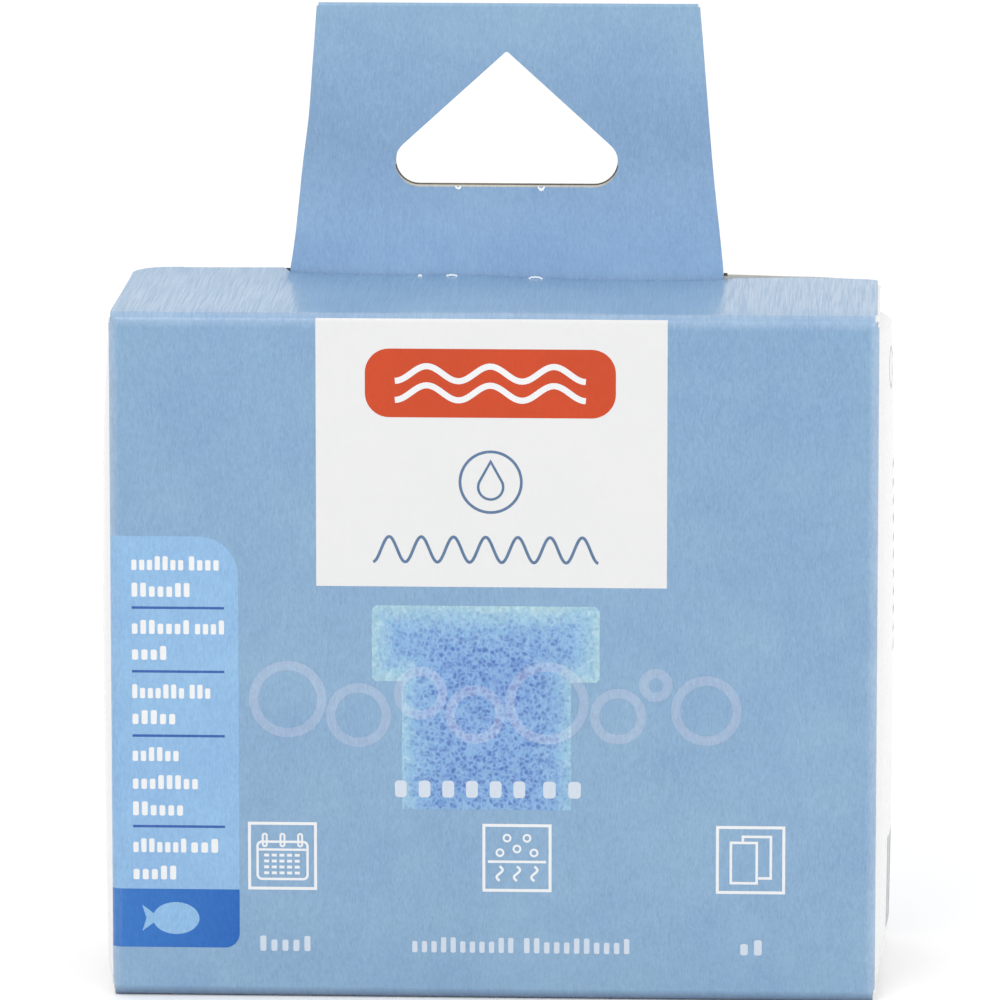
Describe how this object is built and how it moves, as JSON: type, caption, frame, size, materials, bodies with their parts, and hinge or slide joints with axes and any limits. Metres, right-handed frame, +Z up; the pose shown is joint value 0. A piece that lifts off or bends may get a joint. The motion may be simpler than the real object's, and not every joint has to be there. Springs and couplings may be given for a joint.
{
  "type": "boxed filter sponge",
  "caption": "Small folding carton with a glued sleeve, tuck-in ends and a hang tab with a triangular hanger hole, packed with a T-shaped block of blue filter foam.",
  "frame": {"origin": "centre of the carton's underside", "axes": "+Z up towards the hang tab, +Y to the back panel, +X to the right as seen from the printed front, which faces -Y"},
  "size_m": [0.108, 0.044, 0.1368],
  "materials": {
    "printed_board": "satin varnish over a mid-blue print",
    "white_board": "satin coated white board",
    "glue": "dry dispersion glue",
    "foam": "open-cell polyurethane foam"
  },
  "bodies": {
    "carton": {"front_panel": "printed_board", "back_panel": "printed_board", "left_side_panel": "white_board", "right_side_panel": "white_board", "front_left_fold": "white_board", "front_right_fold": "white_board", "back_right_fold": "white_board", "glue_flap_fold": "white_board", "glue_flap": "white_board", "seam_glue": "glue", "sponge": "foam", "top_front_fold": "printed_board", "bottom_front_fold": "printed_board", "top_left_dust_fold": "white_board", "top_right_dust_fold": "white_board", "bottom_left_dust_fold": "white_board", "bottom_right_dust_fold": "white_board", "tab_base_crease": "printed_board"},
    "top_closure": {"top_panel": "printed_board", "top_tuck_fold": "printed_board"},
    "top_tuck": {"top_tuck_flap": "printed_board"},
    "top_left_dust": {"top_left_dust_flap": "white_board"},
    "top_right_dust": {"top_right_dust_flap": "white_board"},
    "bottom_closure": {"bottom_panel": "printed_board", "bottom_tuck_fold": "printed_board"},
    "bottom_tuck": {"bottom_tuck_flap": "printed_board"},
    "bottom_left_dust": {"bottom_left_dust_flap": "white_board"},
    "bottom_right_dust": {"bottom_right_dust_flap": "white_board"},
    "hang_tab": {"tab_back_ply": "printed_board", "tab_front_ply": "printed_board", "tab_top_fold": "printed_board", "tab_glue": "glue"}
  },
  "joints": [
    {"name": "top_panel_hinge", "type": "hinge", "parent": "carton", "child": "top_closure", "pos_m": [0, -0.0218, 0.0976], "axis": [1, 0, 0], "range_deg": [0, 180], "deforming": ["top_front_fold"]},
    {"name": "top_tuck_hinge", "type": "hinge", "parent": "top_closure", "child": "top_tuck", "pos_m": [0, 0.0199, 0.0969], "axis": [1, 0, 0], "range_deg": [0, 36], "deforming": ["top_tuck_fold"]},
    {"name": "top_left_dust_hinge", "type": "hinge", "parent": "carton", "child": "top_left_dust", "pos_m": [-0.0538, 0, 0.09703], "axis": [0, -1, 0], "range_deg": [0, 90], "deforming": ["top_left_dust_fold"]},
    {"name": "top_right_dust_hinge", "type": "hinge", "parent": "carton", "child": "top_right_dust", "pos_m": [0.0538, 0, 0.09703], "axis": [0, 1, 0], "range_deg": [0, 90], "deforming": ["top_right_dust_fold"]},
    {"name": "bottom_panel_hinge", "type": "hinge", "parent": "carton", "child": "bottom_closure", "pos_m": [0, -0.0218, 0.0002], "axis": [-1, 0, 0], "range_deg": [0, 180], "deforming": ["bottom_front_fold"]},
    {"name": "bottom_tuck_hinge", "type": "hinge", "parent": "bottom_closure", "child": "bottom_tuck", "pos_m": [0, 0.0199, 0.0009], "axis": [-1, 0, 0], "range_deg": [0, 36], "deforming": ["bottom_tuck_fold"]},
    {"name": "bottom_left_dust_hinge", "type": "hinge", "parent": "carton", "child": "bottom_left_dust", "pos_m": [-0.0538, 0, 0.00077], "axis": [0, 1, 0], "range_deg": [0, 90], "deforming": ["bottom_left_dust_fold"]},
    {"name": "bottom_right_dust_hinge", "type": "hinge", "parent": "carton", "child": "bottom_right_dust", "pos_m": [0.0538, 0, 0.00077], "axis": [0, -1, 0], "range_deg": [0, 90], "deforming": ["bottom_right_dust_fold"]},
    {"name": "hang_tab_hinge", "type": "hinge", "parent": "carton", "child": "hang_tab", "pos_m": [0, 0.02177, 0.0981], "axis": [1, 0, 0], "range_deg": [-15, 75], "stiffness_Nm_per_rad": 0.002, "deforming": ["tab_base_crease"]}
  ],
  "couplings": [
    {"joint": "top_tuck_hinge", "follows": "top_panel_hinge", "ratio": 0.2},
    {"joint": "top_left_dust_hinge", "follows": "top_panel_hinge", "ratio": 0.5},
    {"joint": "top_right_dust_hinge", "follows": "top_panel_hinge", "ratio": 0.5},
    {"joint": "bottom_tuck_hinge", "follows": "bottom_panel_hinge", "ratio": 0.2},
    {"joint": "bottom_left_dust_hinge", "follows": "bottom_panel_hinge", "ratio": 0.5},
    {"joint": "bottom_right_dust_hinge", "follows": "bottom_panel_hinge", "ratio": 0.5}
  ]
}
